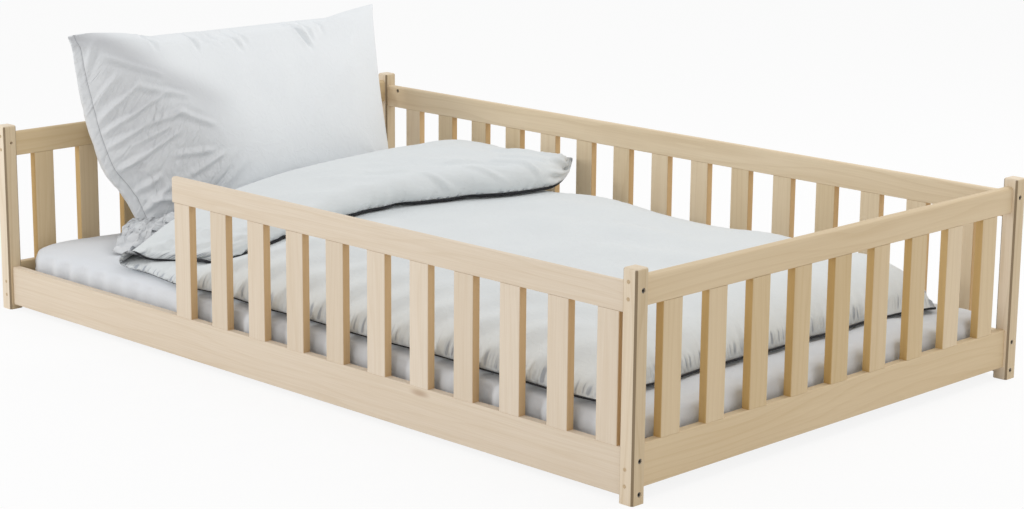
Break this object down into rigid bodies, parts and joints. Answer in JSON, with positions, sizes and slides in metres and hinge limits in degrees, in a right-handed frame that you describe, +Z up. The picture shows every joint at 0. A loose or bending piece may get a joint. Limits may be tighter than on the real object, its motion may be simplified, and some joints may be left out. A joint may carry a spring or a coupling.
{
  "type": "low kids bed",
  "caption": "Low solid pine kids bed with slatted guard rails on all sides, an open entry gap at the head end of one long side, a mattress, a folded-back duvet and a leaning pillow.",
  "frame": {"origin": "on the floor, under the middle of the bed", "axes": "+X along the bed from the head end, where the pillow is, to the foot end; +Y across the bed to the closed long side, so the entry gap is on the -Y side; +Z up"},
  "size_m": [2.08, 1.2812, 0.6595],
  "materials": {
    "pine": "clear satin lacquer over light sanded pine",
    "base_pine": "untreated sawn and planed pine",
    "peg_wood": "end grain under clear satin lacquer",
    "zinc_plated_steel": "zinc plated, satin",
    "strap_webbing": "woven webbing",
    "fitted_sheet": "plain woven cotton, matte",
    "duvet_cover": "smooth woven cotton, matte",
    "pillowcase": "smooth woven cotton, matte"
  },
  "bodies": {
    "frame": {"back_lower_board": "pine", "back_slats": "pine", "back_top_rail": "pine", "barrel_nuts": "zinc_plated_steel", "base_slats": "base_pine", "base_straps": "strap_webbing", "foot_lower_board": "pine", "foot_slat_1": "pine", "foot_slat_2": "pine", "foot_slat_3": "pine", "foot_slat_4": "pine", "foot_slat_5": "pine", "foot_slat_6": "pine", "foot_slat_7": "pine", "foot_slat_8": "pine", "foot_slat_9": "pine", "foot_top_rail": "pine", "frame_bolts": "zinc_plated_steel", "front_lower_board": "pine", "front_slat_1": "pine", "front_slat_10": "pine", "front_slat_11": "pine", "front_slat_2": "pine", "front_slat_3": "pine", "front_slat_4": "pine", "front_slat_5": "pine", "front_slat_6": "pine", "front_slat_7": "pine", "front_slat_8": "pine", "front_slat_9": "pine", "front_top_rail": "pine", "head_lower_board": "pine", "head_slat_1": "pine", "head_slat_2": "pine", "head_slat_3": "pine", "head_slat_4": "pine", "head_slat_5": "pine", "head_slat_6": "pine", "head_slat_7": "pine", "head_slat_8": "pine", "head_slat_9": "pine", "head_top_rail": "pine", "ledger_back": "base_pine", "ledger_front": "base_pine", "ledger_screws": "zinc_plated_steel", "post_foot_back": "pine", "post_foot_front": "pine", "post_head_back": "pine", "post_head_front": "pine", "wooden_pegs": "peg_wood"},
    "mattress": {"mattress": "fitted_sheet"},
    "duvet": {"duvet": "duvet_cover"},
    "pillow": {"pillow": "pillowcase"}
  },
  "joints": [
    {"name": "mattress_lift", "type": "slide", "parent": "frame", "child": "mattress", "axis": [0, 0, 1], "range_m": [0, 0.42]},
    {"name": "duvet_lift", "type": "slide", "parent": "mattress", "child": "duvet", "axis": [0, 0, 1], "range_m": [0, 0.32]},
    {"name": "pillow_lift", "type": "slide", "parent": "mattress", "child": "pillow", "axis": [0, 0, 1], "range_m": [0, 0.32]}
  ]
}
